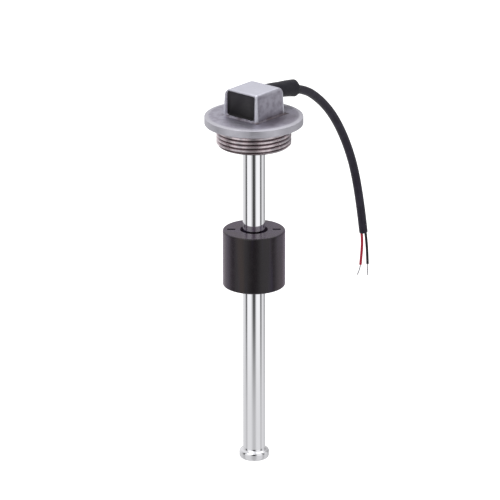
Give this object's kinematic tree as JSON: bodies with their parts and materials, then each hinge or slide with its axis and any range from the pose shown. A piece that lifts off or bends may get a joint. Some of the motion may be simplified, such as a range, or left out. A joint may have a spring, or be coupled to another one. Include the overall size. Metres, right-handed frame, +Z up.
{
  "type": "water level sensor",
  "caption": "Float level sensor: threaded flange plug with a square potted cable head, and a reed stem on which a round float slides.",
  "frame": {"origin": "centre of the flange's underside, on the thread's axis", "axes": "+Z up along the stem, from the tank out through the head; the cable leaves the head at 50 degrees from +X towards +Y"},
  "size_m": [0.094, 0.1053, 0.221],
  "materials": {
    "cast_metal": "satin cast surface with fine grain, machined thread",
    "potting": "poured black resin, slightly glossy",
    "polished_steel": "polished stainless tube and turned cap",
    "float_rubber": "dense black closed-cell rubber, soft sheen",
    "magnet": "sintered ferrite bar, dull",
    "board": "green circuit board",
    "reed_glass": "clear glass capsule",
    "reed_metal": "plated reed blades",
    "resistor": "chip resistor, dull black top",
    "cable_jacket": "black flexible jacket, soft sheen",
    "sleeve": "black shrunk sleeve, soft sheen",
    "red_insulation": "red wire insulation",
    "black_insulation": "black wire insulation",
    "tinned_wire": "tinned copper strands"
  },
  "bodies": {
    "sensor_body": {"mounting_plug": "cast_metal", "head_potting": "potting", "stem_tube": "polished_steel", "end_cap": "polished_steel", "reed_board": "board", "inner_red_wire": "red_insulation", "inner_black_wire": "black_insulation", "cable_sleeve": "sleeve", "cable": "cable_jacket", "red_lead": "red_insulation", "black_lead": "black_insulation", "red_lead_tip": "tinned_wire", "black_lead_tip": "tinned_wire", "reed_glass_1": "reed_glass", "reed_blades_1": "reed_metal", "resistor_1": "resistor", "reed_glass_2": "reed_glass", "reed_blades_2": "reed_metal", "resistor_2": "resistor", "reed_glass_3": "reed_glass", "reed_blades_3": "reed_metal", "resistor_3": "resistor", "reed_glass_4": "reed_glass", "reed_blades_4": "reed_metal", "resistor_4": "resistor", "reed_glass_5": "reed_glass", "reed_blades_5": "reed_metal", "resistor_5": "resistor", "reed_glass_6": "reed_glass", "reed_blades_6": "reed_metal", "resistor_6": "resistor", "reed_glass_7": "reed_glass", "reed_blades_7": "reed_metal", "resistor_7": "resistor", "reed_glass_8": "reed_glass", "reed_blades_8": "reed_metal", "resistor_8": "resistor"},
    "float": {"float_body": "float_rubber", "float_magnet_left": "magnet", "float_magnet_right": "magnet"}
  },
  "joints": [
    {"name": "float_slide", "type": "slide", "parent": "sensor_body", "child": "float", "axis": [0, 0, 1], "range_m": [-0.0994, 0.05]}
  ]
}
